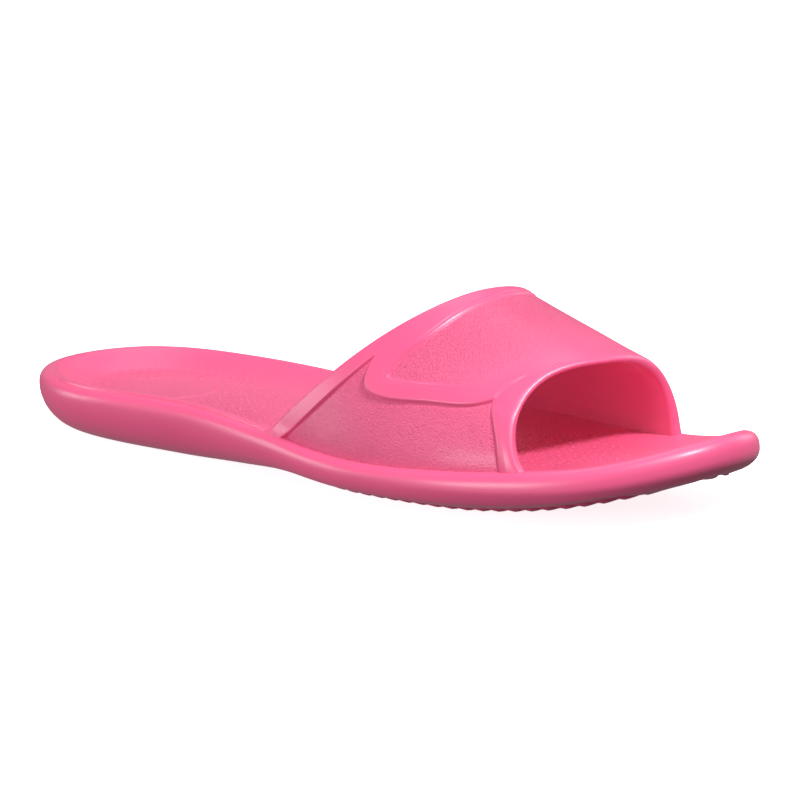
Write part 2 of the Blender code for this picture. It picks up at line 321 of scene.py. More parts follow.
def lengths_along(points: np.ndarray) -> np.ndarray:
    """Return how far each point of a line lies from its first point, along the line."""
    return np.concatenate([[0.0], np.cumsum(np.linalg.norm(np.diff(points, axis=0), axis=1))])


class Step(NamedTuple):
    """A step down with a rolled lip and a crisp foot.

    The roll starts a lip before the step's line, and its foot lies a wall past it, in millimetres. The power
    says how late the roll drops.
    """

    lip: float
    wall: float
    power: float

    def share(self, distance: np.ndarray) -> np.ndarray:
        """Return 0 on the raised side and 1 on the sunk side, by the distance past the step's line."""
        return np.clip((distance + self.lip) / (self.lip + self.wall), 0.0, 1.0) ** self.power


def round_corner(first: np.ndarray, second: np.ndarray, radius: float) -> np.ndarray:
    """Return how far places lie inside two edges that meet in a round corner.

    Args:
        first: Distances inside the first edge, in millimetres.
        second: Distances inside the second edge.
        radius: The corner's radius.

    Returns:
        Distances inside the nearer edge, up to the radius.
    """
    short = np.hypot(np.maximum(radius - first, 0.0), np.maximum(radius - second, 0.0))
    return np.minimum(np.minimum(first, second), radius - short)


def weave(name: str, rows: np.ndarray, grain: np.ndarray | float = 0.0) -> Object:
    """Lay a grid over rows of points and weld the points that meet.

    Args:
        name: Name of the new object.
        rows: Points in millimetres, by row and column.
        grain: How strong the moulded grain is at each point, kept as an attribute.

    Returns:
        The new object, linked to the scene, with smooth faces that point outwards.
    """
    row_count, column_count, _ = rows.shape
    grains = np.broadcast_to(grain, (row_count, column_count))
    grid = bmesh.new()
    bmesh.ops.create_grid(grid, x_segments=column_count - 1, y_segments=row_count - 1, size=1.0)
    layer = grid.verts.layers.float.new(GRAIN)
    for vertex in grid.verts:
        column = round((vertex.co.x + 1.0) / 2.0 * (column_count - 1))
        row = round((vertex.co.y + 1.0) / 2.0 * (row_count - 1))
        vertex.co = rows[row, column] * MM
        vertex[layer] = grains[row, column]
    return finished_object(name, grid)


def finished_object(name: str, form: bmesh.types.BMesh, weld: float = 0.00001) -> Object:
    """Weld a form, turn its faces outwards and put it in the scene.

    Args:
        name: Name of the new object.
        form: The form, which is freed.
        weld: Distance within which points are joined, in metres.

    Returns:
        The new object, with smooth faces.
    """
    bmesh.ops.remove_doubles(form, verts=form.verts[:], dist=weld)
    bmesh.ops.recalc_face_normals(form, faces=form.faces[:])
    mesh = bpy.data.meshes.new(name)
    form.to_mesh(mesh)
    form.free()
    mesh.shade_smooth()
    piece = bpy.data.objects.new(name, mesh)
    bpy.context.scene.collection.objects.link(piece)
    return piece


def joined(name: str, pieces: Sequence[Object]) -> Object:
    """Join objects into one mesh and remove them.

    Args:
        name: Name of the new object.
        pieces: Objects that sit at the origin.

    Returns:
        The new object.
    """
    form = bmesh.new()
    for piece in pieces:
        form.from_mesh(piece.data)
        mesh = piece.data
        bpy.data.objects.remove(piece)
        bpy.data.meshes.remove(mesh)
    return finished_object(name, form)


@dataclass
class Last:
    """The driving form of the slide, shared by the sole and the strap."""

    length: float = 250.0
    rim_inset: float = 4.5
    rim_fullness: float = 2.5
    side_change: float = 1.5
    heel_roll: float = 2.8
    heel_roll_end: float = 0.08
    arch_rise: float = 1.4
    arch_start: float = 0.28
    arch_end: float = 0.58
    toe_spring: float = 11.2
    toe_spring_start: float = 0.70
    spine_end_gap: float = 30.0
    crown_side_shift: float = 4.1
    lateral_fullness: float = 1.9
    medial_fullness: float = 2.55
    seat_inset: float = 3.05
    seat_sink: float = 0.45
    outline_samples: int = 721
    turn_step: float = 0.002
    station_step: float = 0.5
    angle_step: float = 0.01

    def __post_init__(self) -> None:
        """Draw the curves through the tables."""
        turns = [math.acos(1.0 - 2.0 * row.share) for row in OUTLINE]
        knots = np.array(turns + [FULL_TURN - turn for turn in turns[-2:0:-1]])
        places = np.array([-row.lateral for row in OUTLINE] + [row.medial for row in OUTLINE[-2:0:-1]])
        wrap = len(OUTLINE) // 2
        knots = np.concatenate([knots[-wrap:] - FULL_TURN, knots, knots[:wrap] + FULL_TURN])
        places = np.concatenate([places[-wrap:], places, places[:wrap]])
        self.outline_place = natural_spline(knots, places)
        around = self.outline_place(np.linspace(0.0, FULL_TURN, self.outline_samples))
        self.outline_middle = (around.min() + around.max()) / 2.0
        self.lateral_rim = column_spline(RIM, "lateral")
        self.medial_rim = column_spline(RIM, "medial")
        self.side_drawn_in = column_spline(SIDE, "drawn_in")
        self.side_widest = column_spline(SIDE, "widest")
        self.dish_depth = column_spline(DISH)
        self.crown_height = column_spline(CROWN)

    def share(self, station: np.ndarray) -> np.ndarray:
        """Return the share of the length, from heel to toe, at a distance along the sole."""
        return np.clip(station / self.length + 0.5, 0.0, 1.0)

    def outline(self, turns: np.ndarray) -> tuple[np.ndarray, np.ndarray]:
        """Return the outline's X and Y by turn: heel 0, lateral side, toe half a turn, medial side.

        Args:
            turns: Turns in radians.

        Returns:
            The X and the Y of each turn, with the outline's middle on the X axis.
        """
        x = -self.length / 2.0 * np.cos(turns)
        return x, self.outline_place(np.mod(turns, FULL_TURN)) - self.outline_middle

    def outward(self, turns: np.ndarray) -> tuple[np.ndarray, np.ndarray]:
        """Return the X and Y of the outline's outward direction.

        Args:
            turns: Turns in radians.

        Returns:
            The X and the Y of a unit vector for each turn.
        """
        x_before, y_before = self.outline(turns - self.turn_step)
        x_after, y_after = self.outline(turns + self.turn_step)
        along = np.hypot(x_after - x_before, y_after - y_before)
        return (y_after - y_before) / along, (x_before - x_after) / along

    def underside(self, station: np.ndarray) -> np.ndarray:
        """Return the underside's height: rolled up at the heel, arched, and sprung at the toe.

        Args:
            station: Distances along the sole.

        Returns:
            Heights over the floor.
        """
        share = self.share(station)
        roll = np.clip(1.0 - share / self.heel_roll_end, 0.0, 1.0) ** 2
        arch = np.clip((share - self.arch_start) / (self.arch_end - self.arch_start), 0.0, 1.0)
        spring = np.clip((share - self.toe_spring_start) / (1.0 - self.toe_spring_start), 0.0, 1.0) ** 2
        arched = self.arch_rise * np.sin(math.pi * arch) ** 2
        return self.heel_roll * roll + arched + self.toe_spring * spring

    def medial_part(self, turns: np.ndarray) -> np.ndarray:
        """Return 0 on the lateral side and 1 on the medial side, eased round the heel and the toe."""
        return ease(0.5 - self.side_change * np.sin(turns))

    def rim(self, station: np.ndarray, part: np.ndarray) -> np.ndarray:
        """Return the rim's height, from the lateral to the medial one as the part goes from 0 to 1."""
        share = self.share(station)
        return self.lateral_rim(share) + part * (self.medial_rim(share) - self.lateral_rim(share))

    def spine(self, turns: np.ndarray) -> tuple[np.ndarray, np.ndarray]:
        """Return the middle line of the sole for each column of the outline.

        Args:
            turns: Turns in radians.

        Returns:
            The X and the Y of the middle line.
        """
        x = -(self.length / 2.0 - self.spine_end_gap) * np.cos(turns)
        outer_turns = np.arccos(-2.0 * x / self.length)
        _, lateral = self.outline(outer_turns)
        _, medial = self.outline(FULL_TURN - outer_turns)
        return x, (lateral + medial) / 2.0

    def strap_foot(self, station: np.ndarray, angle: np.ndarray) -> np.ndarray:
        """Return the height from which the strap rises, from the lateral to the medial rim."""
        return self.rim(station, (1.0 - np.cos(angle)) / 2.0) - self.seat_sink

    def strap_face(self, station: np.ndarray, angle: np.ndarray) -> np.ndarray:
        """Return the strap's smooth outer form.

        Args:
            station: Distances along the sole.
            angle: Angles round the foot in radians, from the lateral to the medial side.

        Returns:
            Points in millimetres.
        """
        turns = np.arccos(np.clip(-2.0 * station / self.length, -1.0, 1.0))
        lateral = self.outline(turns)[1] + self.seat_inset
        medial = self.outline(FULL_TURN - turns)[1] - self.seat_inset
        middle = self.crown_side_shift - self.outline_middle
        on_lateral = angle < QUARTER_TURN
        power = 2.0 / np.where(on_lateral, self.lateral_fullness, self.medial_fullness)
        reach = np.abs(np.cos(angle)) ** power
        rise = np.abs(np.sin(angle)) ** power
        y = middle + np.where(on_lateral, lateral - middle, medial - middle) * reach
        foot = self.strap_foot(station, angle)
        z = foot + (self.crown_height(station) - foot) * rise
        return np.stack([station, y, z], axis=-1)

    def strap_outward(self, station: np.ndarray, angle: np.ndarray) -> np.ndarray:
        """Return the outward direction of the strap's smooth outer form.

        Args:
            station: Distances along the sole.
            angle: Angles round the foot in radians.

        Returns:
            Unit vectors.
        """
        angle = np.clip(angle, 2.0 * self.angle_step, math.pi - 2.0 * self.angle_step)
        ahead = self.strap_face(station + self.station_step, angle)
        along = ahead - self.strap_face(station - self.station_step, angle)
        above = self.strap_face(station, angle + self.angle_step)
        around = above - self.strap_face(station, angle - self.angle_step)
        out = np.cross(along, around)
        return out / np.linalg.norm(out, axis=-1, keepdims=True)


class NodeSet:
    """The nodes of one new material, which read Object coordinates."""

    def __init__(self, name: str) -> None:
        """Start a material with its shader and its coordinates.

        Args:
            name: Name of the material.
        """
        self.material = bpy.data.materials.new(name)
        self.material.use_nodes = True
        self.tree = self.material.node_tree
        self.shader = self.tree.nodes["Principled BSDF"]
        self.place = self.tree.nodes.new("ShaderNodeTexCoord").outputs["Object"]

    def fill(self, node: Node, inputs: Inputs) -> None:
        """Link or set a node's inputs.

        Args:
            node: The node.
            inputs: Another node's socket, which is linked, or a constant, by the name or number of the input.
        """
        for key, value in inputs.items():
            if isinstance(value, NodeSocket):
                self.tree.links.new(value, node.inputs[key])
            else:
                node.inputs[key].default_value = value

    def add(self, kind: str, inputs: Inputs, output: int | str = 0, **settings: str) -> NodeSocket:
        """Add a node.

        Args:
            kind: The node's type, without the part that all shader nodes share.
            inputs: What its inputs are linked to or set to.
            output: Name or number of the output that is used.
            settings: The node's own settings.

        Returns:
            The output's socket.
        """
        node = self.tree.nodes.new("ShaderNode" + kind)
        for name, value in settings.items():
            setattr(node, name, value)
        self.fill(node, inputs)
        return node.outputs[output]

    def noise(self, scale: float, detail: float) -> NodeSocket:
        """Add a noise and return the socket of its value."""
        return self.add("TexNoise", {"Vector": self.place, "Scale": scale, "Detail": detail})

    def tint(self, share: NodeSocket, low: tuple[float, Colour], high: tuple[float, Colour]) -> NodeSocket:
        """Add a ramp between two colours.

        Args:
            share: The socket that picks the colour.
            low: Place and colour of the ramp's start.
            high: Place and colour of its end.

        Returns:
            The colour's socket.
        """
        colour = self.add("ValToRGB", {"Fac": share}, "Color")
        for element, (place, tone) in zip(colour.node.color_ramp.elements, (low, high)):
            element.position = place
            element.color = tone
        return colour


@dataclass(frozen=True)
class FoamFinish:
    """Pink moulded foam: satin skin, a cloudy colour and a fine leather-like grain where it is marked."""

    name: str = "pink_foam"
    deep_pink: Colour = (0.83, 0.097, 0.243, 1.0)
    pink: Colour = (0.87, 0.108, 0.262, 1.0)
    cloud_scale: float = 28.0
    cloud_detail: float = 4.0
    cloud_span: Span = (0.3, 0.62)
    satin: Span = (0.36, 0.46)
    grain_roughness: float = 0.08
    pebble_scale: float = 1950.0
    pebble_smoothness: float = 0.6
    pebble_share: float = -0.9
    fleck_scale: float = 3500.0
    fleck_detail: float = 2.0
    grain_depth: float = 0.0004
    grain_strength: float = 1.0
    skin_scale: float = 700.0
    skin_detail: float = 3.0
    skin_depth: float = 0.00004
    skin_strength: float = 0.35
    coat: float = 0.28
    coat_roughness: float = 0.28
    sheen: float = 0.08
    sheen_roughness: float = 0.4

    def material(self) -> Material:
        """Build the foam's node material.

        Returns:
            The material, which reads Object coordinates and the grain attribute.
        """
        nodes = NodeSet(self.name)
        clouds = nodes.noise(self.cloud_scale, self.cloud_detail)
        low, high = zip(self.cloud_span, (self.deep_pink, self.pink))
        colour = nodes.tint(clouds, low, high)
        least, most = self.satin
        gloss = nodes.add("MapRange", {"Value": clouds, "To Min": least, "To Max": most})
        marked = nodes.add("Attribute", {}, "Fac", attribute_name=GRAIN)
        rougher = {0: marked, 1: self.grain_roughness, 2: gloss}
        roughness = nodes.add("Math", rougher, operation="MULTIPLY_ADD")

        cells = {"Vector": nodes.place, "Scale": self.pebble_scale, "Smoothness": self.pebble_smoothness}
        pebbles = nodes.add("TexVoronoi", cells, "Distance", feature="SMOOTH_F1")
        flecks = nodes.noise(self.fleck_scale, self.fleck_detail)
        mixed = nodes.add("Math", {0: pebbles, 1: self.pebble_share, 2: flecks}, operation="MULTIPLY_ADD")
        pressed = nodes.add("Math", {0: mixed, 1: marked}, operation="MULTIPLY")
        pores = nodes.noise(self.skin_scale, self.skin_detail)
        skin = nodes.add("Bump", {
            "Height": pores,
            "Strength": self.skin_strength,
            "Distance": self.skin_depth,
        })
        grain = nodes.add("Bump", {
            "Height": pressed,
            "Strength": self.grain_strength,
            "Distance": self.grain_depth,
            "Normal": skin,
        })
        nodes.fill(nodes.shader, {
            "Base Color": colour,
            "Metallic": 0.0,
            "Roughness": roughness,
            "Coat Weight": self.coat,
            "Coat Roughness": self.coat_roughness,
            "Sheen Weight": self.sheen,
            "Sheen Roughness": self.sheen_roughness,
            "Normal": grain,
        })
        return nodes.material


@dataclass(frozen=True)
class FloorFinish:
    """Pale matt studio floor that glows, with a faint mottle."""

    name: str = "pale_floor"
    shade: Colour = (0.91, 0.91, 0.915, 1.0)
    pale: Colour = (0.93, 0.93, 0.935, 1.0)
    mottle_scale: float = 6.0
    mottle_detail: float = 2.0
    roughness: float = 0.7
    specular: float = 0.2
    glow: float = 0.9

    def material(self) -> Material:
        """Build the floor's node material.

        Returns:
            The material.
        """
        nodes = NodeSet(self.name)
        mottle = nodes.noise(self.mottle_scale, self.mottle_detail)
        nodes.fill(nodes.shader, {
            "Base Color": nodes.tint(mottle, (0.0, self.shade), (1.0, self.pale)),
            "Roughness": self.roughness,
            "Specular IOR Level": self.specular,
            "Emission Color": self.pale,
            "Emission Strength": self.glow,
        })
        return nodes.material


@dataclass
class Sole:
    """The moulded sole: bottom, full rounded side, soft rim with a lip, and dished footbed."""

    last: Last
    columns: int = 720
    bottom_rows: int = 18
    below_rows: int = 20
    shoulder_turns: tuple[float, ...] = (6.0, 12.0, 18.0, 24.0, 30.0)
    rim_insets: tuple[float, ...] = (
        0.7, 0.95, 1.2, 1.5, 1.8, 2.1, 2.4, 2.65, 2.82, 2.94, 3.02,
        3.08, 3.13, 3.18, 3.23, 3.3, 3.4, 3.6, 3.9, 4.2, 4.5,
    )
    footbed_rows: tuple[RowSpan, ...] = (
        RowSpan(0.0, 0.09, 12),
        RowSpan(0.09, 0.42, 15),
        RowSpan(0.42, 1.0, 12),
    )
    dish_edge: float = 0.42
    dish_round: float = 0.025
    tread_depth: float = 0.9
    heel_fade: Span = (1.0, 9.0)
    forefoot_fade: Span = (34.0, 58.0)
    forefoot: Plateau = (-40.0, 0.0, 107.0, 118.0)
    ledge_drop: float = 0.5
    ledge_inset: float = 3.02
    ledge_wall: float = 0.26
    ledge_groove: float = 0.42
    ledge_groove_width: float = 0.2
    ledge_span: Plateau = (-114.0, -88.0, 58.0, 84.0)
    band_foot: Plateau = (-18.0, -12.0, -6.0, 2.0)
    strap_span: Plateau = (-13.0, -7.0, 74.0, 80.0)
    strap_hidden: Span = (1.6, 5.0)
    footbed_grain: float = 0.16

    def foot_ring(self, turns: np.ndarray, inset: np.ndarray, height: np.ndarray) -> np.ndarray:
        """Return a ring drawn in from the outline at given heights.

        Args:
            turns: Turns in radians.
            inset: Distances inwards from the outline.
            height: Heights over the floor.

        Returns:
            Points in millimetres.
        """
        x, y = self.last.outline(turns)
        out_x, out_y = self.last.outward(turns)
        return np.stack([x - inset * out_x, y - inset * out_y, height + 0.0 * x], axis=-1)

    def inner_ring(self, ring: np.ndarray, turns: np.ndarray, inward: float, height_at: Curve) -> np.ndarray:
        """Return a ring part of the way from another ring to the sole's middle line.

        Args:
            ring: The outer ring.
            turns: Turns of its columns.
            inward: Share of the way.
            height_at: Height over the floor by distance along the sole.

        Returns:
            Points in millimetres.
        """
        x, _ = self.last.outline(turns)
        spine_x, spine_y = self.last.spine(turns)
        ring_x = ring[:, 0] + inward * (spine_x - ring[:, 0])
        ring_y = ring[:, 1] + inward * (spine_y - ring[:, 1])
        return np.stack([ring_x, ring_y, height_at(x + inward * (spine_x - x))], axis=-1)

    def lower_rows(self, turns: np.ndarray, tread: float) -> list[np.ndarray]:
        """Return the rows of the bottom and of the side up to its widest line.

        Args:
            turns: Turns of the columns.
            tread: How deep the bottom lies behind the tips of the tread.

        Returns:
            One array of points for each row.
        """
        last = self.last
        x, _ = last.outline(turns)
        share = last.share(x)
        drawn_in = last.side_drawn_in(share)
        bottom = last.underside(x)
        height = last.side_widest(share) * (last.rim(x, last.medial_part(turns)) - bottom)
        foot = self.foot_ring(turns, drawn_in, bottom)
        rows = []
        for inward in np.linspace(1.0, 0.0, self.bottom_rows + 1)[:-1]:
            rows.append(self.inner_ring(foot, turns, inward, lambda at: last.underside(at) + tread))
        ahead = plateau(x, self.forefoot)
        ends = zip(self.heel_fade, self.forefoot_fade)
        fade = [np.radians(heel + ahead * (fore - heel)) for heel, fore in ends]
        for angle in np.linspace(0.0, QUARTER_TURN, self.below_rows + 1):
            deep = tread * (1.0 - ramp(angle, fade))
            slant = np.hypot(height * math.sin(angle), drawn_in * math.cos(angle))
            inset = drawn_in * (1.0 - math.sin(angle)) + deep * height * math.sin(angle) / slant
            rise = height * (1.0 - math.cos(angle)) + deep * drawn_in * math.cos(angle) / slant
            rows.append(self.foot_ring(turns, inset, bottom + rise))
        return rows

    def ledge(self, station: np.ndarray, inset: float) -> np.ndarray:
        """Return how deep the rim's shoulder lies under its plain form, as a ledge with a lip inside it.

        Args:
            station: Distances along the sole.
            inset: Distance inwards from the outline.

        Returns:
            Depths in millimetres. Where the strap stands, the ledge runs in under it.
        """
        there = plateau(station, self.ledge_span) * (1.0 - plateau(station, self.band_foot))
        under = plateau(station, self.strap_span)
        risen = float(ease((inset - self.ledge_inset) / self.ledge_wall))
        depth = self.ledge_drop * math.sin(QUARTER_TURN * min(inset / self.ledge_inset, 1.0))
        groove = self.ledge_groove * math.exp(-((inset - self.ledge_inset) / self.ledge_groove_width) ** 2)
        return there * (depth * (1.0 - risen * (1.0 - under)) + groove * (1.0 - under))

    def rim_rows(self, turns: np.ndarray) -> list[np.ndarray]:
        """Return the rows of the side from its widest line to the rim.

        Args:
            turns: Turns of the columns.

        Returns:
            One array of points for each row.
        """
        last = self.last
        x, _ = last.outline(turns)
        widest = last.side_widest(last.share(x))
        bottom = last.underside(x)
        height = last.rim(x, last.medial_part(turns)) - bottom
        power = 2.0 / last.rim_fullness
        reaches = [math.cos(math.radians(turn)) for turn in self.shoulder_turns]
        reaches += [(1.0 - inset / last.rim_inset) ** (1.0 / power) for inset in self.rim_insets]
        rows = []
        for reach in reaches:
            inset = last.rim_inset * (1.0 - reach ** power)
            rise = widest + (1.0 - widest) * math.sqrt(1.0 - reach * reach) ** power
            rows.append(self.foot_ring(turns, inset + 0.0 * x, bottom + rise * height - self.ledge(x, inset)))
        return rows

    def footbed_shares(self) -> np.ndarray:
        """Return the shares of the way from rim to middle at which the footbed has rows."""
        spans = [np.linspace(rows.start, rows.end, rows.count + 1)[1:] for rows in self.footbed_rows]
        return np.concatenate(spans)

    def footbed_row(self, rim: np.ndarray, turns: np.ndarray, inward: float) -> np.ndarray:
        """Return one row of the footbed, which falls from the rim into a dish.

        Args:
            rim: The rim's row.
            turns: Turns of the columns.
            inward: Share of the way from the rim to the middle line.

        Returns:
            Points in millimetres.
        """
        last = self.last
        rounded = math.hypot(inward, self.dish_round) - self.dish_round
        fall = math.sin(QUARTER_TURN * min(rounded / self.dish_edge, 1.0))
        part = inward / 2.0 + (1.0 - inward) * last.medial_part(turns)

        def height_at(at: np.ndarray) -> np.ndarray:
            """Return the footbed's height at some distances along the sole."""
            return last.rim(at, part) - fall * last.dish_depth(last.share(at))

        row = self.inner_ring(rim, turns, inward, height_at)
        x, _ = last.outline(turns)
        spine_x, spine_y = last.spine(turns)
        from_rim = inward * np.hypot(spine_x - rim[:, 0], spine_y - rim[:, 1])
        row[:, 2] -= self.ledge(x, last.rim_inset) * (1.0 - ramp(from_rim, self.strap_hidden))
        return row

    def build(self) -> Object:
        """Weave the sole's skin.

        Returns:
            The sole's object.
        """
        turns = np.linspace(0.0, FULL_TURN, self.columns + 1)
        rows = self.lower_rows(turns, self.tread_depth) + self.rim_rows(turns)
        rim = rows[-1]
        plain = len(rows) + self.footbed_rows[0].count
        rows += [self.footbed_row(rim, turns, inward) for inward in self.footbed_shares()]
        grain = np.zeros((len(rows), 1))
        grain[plain:] = self.footbed_grain
        piece = weave("sole_skin", np.stack(rows), grain)
        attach(piece, BODY)
        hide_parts("sole")
        return piece


@dataclass
class Tread:
    """Curved ribs across the heel and the forefoot of the bottom, which stand on the floor."""

    sole: Sole
    zones: tuple[RibZone, ...] = (RibZone(-103.0, -48.0, 0.0), RibZone(6.0, 114.0, 30.0))
    pitch: float = 5.0
    width: float = 2.7
    crest: float = 0.72
    shoulder: float = 0.35
    root: float = 0.6
    bow: float = 4.0
    steps: int = 44
    taper_steps: float = 3.0
    end_sunk: float = 0.2

    def sections(self, wrap: float) -> tuple[np.ndarray, np.ndarray]:
        """Return the bottom's rows from the lateral to the medial side, heel to toe.

        Args:
            wrap: How far the rows go up the side, in degrees of its turn.

        Returns:
            The lateral and the medial half of each row, as arrays of points.
        """
        turns = np.linspace(0.0, FULL_TURN, self.sole.columns + 1)
        rows = self.sole.lower_rows(turns, 0.0)
        up = math.ceil(self.sole.below_rows * wrap / QUARTER_DEGREES)
        rows = np.stack(rows[:self.sole.bottom_rows + up + 1])
        half = self.sole.columns // 2
        return rows[:, :half + 1], rows[:, :half - 1:-1]

    def section(self, halves: tuple[np.ndarray, np.ndarray], station: float) -> np.ndarray:
        """Return the bottom's outline across the sole at one station.

        Args:
            halves: The lateral and medial halves of the bottom's rows.
            station: Distance along the sole.

        Returns:
            Points from the lateral to the medial side.
        """
        sides = []
        for half in halves:
            points = []
            for row in half:
                if row[0, 0] <= station <= row[-1, 0]:
                    y = np.interp(station, row[:, 0], row[:, 1])
                    points.append((station, y, np.interp(station, row[:, 0], row[:, 2])))
            sides.append(points)
        return np.array(sides[0][::-1] + sides[1])

    def path(self, halves: tuple[np.ndarray, np.ndarray], station: float) -> np.ndarray:
        """Return the line of one rib across the bottom, bowed towards the toe in its middle.

        Args:
            halves: The lateral and medial halves of the bottom's rows.
            station: Place of the rib's middle along the sole.

        Returns:
            Points from the lateral to the medial side.
        """
        points = []
        for share in np.linspace(0.0, 1.0, self.steps):
            bowed = station - self.bow * (2.0 * share - 1.0) ** 2
            across = self.section(halves, bowed)
            lengths = lengths_along(across)
            at = share * lengths[-1]
            points.append([np.interp(at, lengths, across[:, axis]) for axis in range(3)])
        return np.array(points)

    def rib_rows(self, path: np.ndarray) -> np.ndarray:
        """Return the rows of one rib, closed to a point at both ends.

        Args:
            path: The line of the rib's crest.

        Returns:
            Points in millimetres, one row for each edge of the rib.
        """
        along = np.gradient(path, axis=0)
        along /= np.linalg.norm(along, axis=1, keepdims=True)
        across = np.array([1.0, 0.0, 0.0]) - along[:, :1] * along
        across /= np.linalg.norm(across, axis=1, keepdims=True)
        inward = np.cross(across, along)
        steps = np.arange(self.steps)[:, None]
        taper = np.clip(np.minimum(steps, steps[::-1]) / self.taper_steps, 0.0, 1.0)
        half = self.width / 2.0
        deep = self.sole.tread_depth + self.root
        edges = ((-half, deep), (-half, self.shoulder), (-half * self.crest, 0.0),
                 (half * self.crest, 0.0), (half, self.shoulder), (half, deep), (-half, deep))
        rows = []
        for side, depth in edges:
            sunk = depth + (1.0 - taper) * (self.sole.tread_depth + self.end_sunk - depth)
            rows.append(path + taper * side * across + sunk * inward)
        return np.stack(rows)

    def build(self) -> Object:
        """Weave each rib and join them.

        Returns:
            The tread's object.
        """
        ribs = []
        for zone in self.zones:
            halves = self.sections(zone.wrap)
            for station in np.arange(zone.start, zone.end, self.pitch):
                ribs.append(weave("rib", self.rib_rows(self.path(halves, station))))
        piece = joined("tread_ribs", ribs)
        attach(piece, BODY)
        return piece


@dataclass
class Footbed:
    """What is moulded on the footbed: rows of small nubs and a plain oval on the heel."""

    sole: Sole
    skin: Object
    row_shares: tuple[float, ...] = (0.31, 0.42, 0.53, 0.64, 0.75, 0.86, 0.96)
    nub_pitch: float = 2.9
    nub_radius: float = 0.65
    nub_height: float = 0.17
    nub_segments: tuple[int, int] = (10, 6)
    nub_batch: int = 24
    oval_centre: tuple[float, float] = (-83.6, -0.4)
    oval_half: tuple[float, float] = (16.8, 16.0)
    oval_margin: float = 2.8
    oval_height: float = 0.26
    oval_columns: int = 128
    oval_grain: float = 0.3
    probe_height: float = 200.0

    def __post_init__(self) -> None:
        """Make the tree that finds the footbed under a point."""
        form = bmesh.new()
        form.from_mesh(self.skin.data)
        self.tree = BVHTree.FromBMesh(form)
        form.free()

    def surface(self, x: float, y: float) -> tuple[Vector, Vector]:
        """Find the footbed under a point.

        Args:
            x: Distance along the sole in millimetres.
            y: Distance to the medial side in millimetres.

        Returns:
            The place on the footbed in metres, and its outward direction.
        """
        above = Vector((x, y, self.probe_height)) * MM
        place, normal, _, _ = self.tree.ray_cast(above, Vector((0.0, 0.0, -1.0)))
        return place, normal

    def in_oval(self, x: float, y: float) -> bool:
        """Return whether a place lies on the bare oval or its margin."""
        reach_x = (x - self.oval_centre[0]) / (self.oval_half[0] + self.oval_margin)
        reach_y = (y - self.oval_centre[1]) / (self.oval_half[1] + self.oval_margin)
        return math.hypot(reach_x, reach_y) < 1.0

    def nub_places(self) -> list[tuple[float, float]]:
        """Return the places of the nubs, in rows that follow the outline within a footprint.

        Returns:
            The X and Y of each nub in millimetres.
        """
        last = self.sole.last
        turns = np.linspace(0.0, FULL_TURN, self.sole.columns + 1)
        rim = self.sole.rim_rows(turns)[-1]
        shares = [row.share for row in NUBS]
        starts = ([row.lateral for row in NUBS], [row.medial for row in NUBS])
        places = []
        for inward in self.row_shares:
            ring = self.sole.footbed_row(rim, turns, inward)
            lengths = lengths_along(ring)
            count = int(lengths[-1] / self.nub_pitch)
            at = np.arange(count) * lengths[-1] / count
            for x, y, turn in zip(*(np.interp(at, lengths, row) for row in (ring[:, 0], ring[:, 1], turns))):
                start = np.interp(last.share(x), shares, starts[int(turn > math.pi)])
                if inward >= start and not self.in_oval(x, y):
                    places.append((float(x), float(y)))
        return places

    def build_nubs(self) -> Object:
        """Set a low dome at each place of the nub field.

        Returns:
            The nubs' object.
        """
        size = Matrix.Diagonal((self.nub_radius * MM, self.nub_radius * MM, self.nub_height * MM, 1.0))
        around, up = self.nub_segments
        places = self.nub_places()
        batches = []
        for start in range(0, len(places), self.nub_batch):
            form = bmesh.new()
            for x, y in places[start:start + self.nub_batch]:
                place, normal = self.surface(x, y)
                dome = Matrix.Translation(place) @ normal.to_track_quat("Z", "Y").to_matrix().to_4x4() @ size
                bmesh.ops.create_uvsphere(form, u_segments=around, v_segments=up, radius=1.0, matrix=dome)
            batches.append(finished_object("nub_batch", form))
        piece = joined("footbed_nubs", batches)
        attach(piece, BODY)
        return piece

    def build_oval(self) -> Object:
        """Lay a low plain oval with a rolled edge on the heel.

        Returns:
            The oval's object.
        """
        angles = np.linspace(0.0, FULL_TURN, self.oval_columns + 1)
        rows = []
        for reach, rise in OVAL:
            row = []
            for angle in angles:
                x = self.oval_centre[0] + reach * self.oval_half[0] * math.cos(angle)
                y = self.oval_centre[1] + reach * self.oval_half[1] * math.sin(angle)
                place, _ = self.surface(x, y)
                row.append((x, y, place.z / MM + rise * self.oval_height))
            rows.append(row)
        rows.append([(*self.oval_centre, rows[0][0][2] - 2.0 * self.oval_height)] * len(angles))
        piece = weave("heel_oval", np.array(rows), self.oval_grain)
        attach(piece, BODY)
        return piece


class Zone(Enum):
    """The stretches of a line's place across the strap, from its rear edge to its front edge."""

    REAR_EDGE = "rear edge"
    REAR_BAND = "rear band"
    REAR_STEP = "rear step"
    FRAME = "frame"
    RECESS_STEP = "recess step"
    PANEL = "panel"
    FRONT_STEP = "front step"
    FRONT_BAND = "front band"
    FRONT_EDGE = "front edge"
    SPAN = "whole span"


STRETCHES = (
    Zone.REAR_BAND,
    Zone.REAR_STEP,
    Zone.FRAME,
    Zone.RECESS_STEP,
    Zone.PANEL,
    Zone.FRONT_STEP,
    Zone.FRONT_BAND,
)


class Line(NamedTuple):
    """One line of the strap from foot to foot.

    Its place is a distance from the edge in an edge's zone, and a share of the zone elsewhere. Its fullness
    is 0 in the middle of the wall and 1 on a face.
    """

    zone: Zone
    place: float
    full: float
    inside: bool


